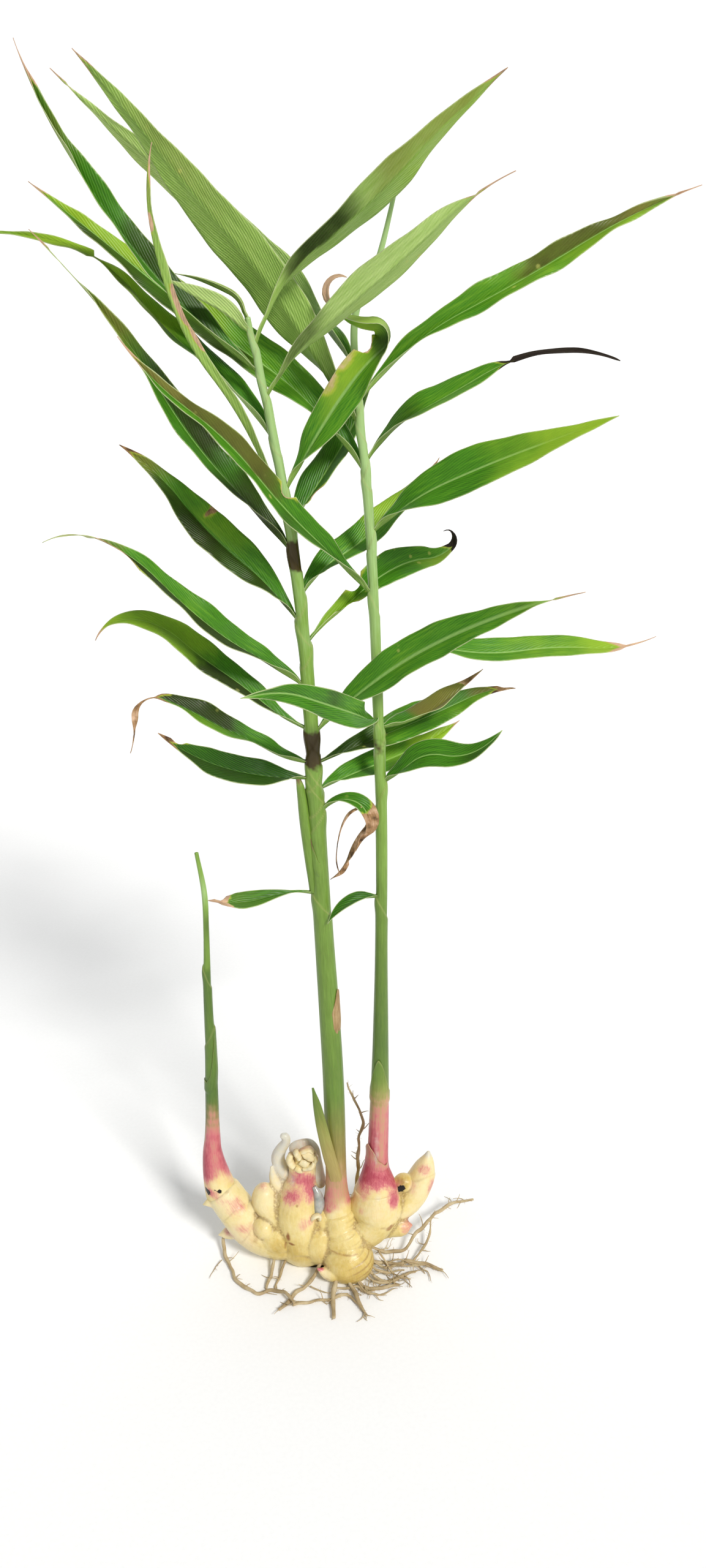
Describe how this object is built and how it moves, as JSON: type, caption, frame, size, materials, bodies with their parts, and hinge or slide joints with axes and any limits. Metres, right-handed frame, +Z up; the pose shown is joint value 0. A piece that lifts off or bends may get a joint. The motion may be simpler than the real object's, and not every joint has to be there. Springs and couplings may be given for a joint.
{
  "type": "ginger root with its shoots, leaves and roots",
  "caption": "Freshly lifted ginger rhizome with its thin roots, pink-based shoots, sheaths and long narrow leaves, standing on its rhizome.",
  "frame": {"origin": "on the flat underside of the rhizome, below the middle shoot", "axes": "+Z up along the shoots, +X to the right along the rhizome, -Y towards the front"},
  "size_m": [0.3837, 0.1586, 0.7465],
  "materials": {
    "rhizome_skin": "satin",
    "shoot": "satin",
    "leaf": "satin",
    "sheath": "satin",
    "dried_husk": "matte",
    "root": "matte"
  },
  "bodies": {
    "root": {"leaf_middle_left_1": "leaf", "leaf_middle_left_10": "leaf", "leaf_middle_left_11": "leaf", "leaf_middle_left_12": "leaf", "leaf_middle_left_2": "leaf", "leaf_middle_left_3": "leaf", "leaf_middle_left_4": "leaf", "leaf_middle_left_5": "leaf", "leaf_middle_left_6": "leaf", "leaf_middle_left_7": "leaf", "leaf_middle_left_8": "leaf", "leaf_middle_left_9": "leaf", "leaf_middle_right_1": "leaf", "leaf_middle_right_10": "leaf", "leaf_middle_right_2": "leaf", "leaf_middle_right_3": "leaf", "leaf_middle_right_4": "leaf", "leaf_middle_right_5": "leaf", "leaf_middle_right_6": "leaf", "leaf_middle_right_7": "leaf", "leaf_middle_right_8": "leaf", "leaf_middle_right_9": "leaf", "leaf_right_left_1": "leaf", "leaf_right_left_2": "leaf", "leaf_right_left_3": "leaf", "leaf_right_left_4": "leaf", "leaf_right_left_5": "leaf", "leaf_right_left_6": "leaf", "leaf_right_right_1": "leaf", "leaf_right_right_2": "leaf", "leaf_right_right_3": "leaf", "leaf_right_right_4": "leaf", "leaf_right_right_5": "leaf", "leaf_right_right_6": "leaf", "rhizome": "rhizome_skin", "root_1": "root", "root_10": "root", "root_11": "root", "root_12": "root", "root_13": "root", "root_14": "root", "root_15": "root", "root_2": "root", "root_3": "root", "root_4": "root", "root_5": "root", "root_6": "root", "root_7": "root", "root_8": "root", "root_9": "root", "sheath_left": "sheath", "sheath_middle_high": "sheath", "sheath_middle_low": "dried_husk", "sheath_right_high": "sheath", "sheath_right_low": "sheath", "shoot_left": "shoot", "shoot_middle": "shoot", "shoot_right": "shoot", "shoot_young": "shoot"}
  },
  "joints": []
}
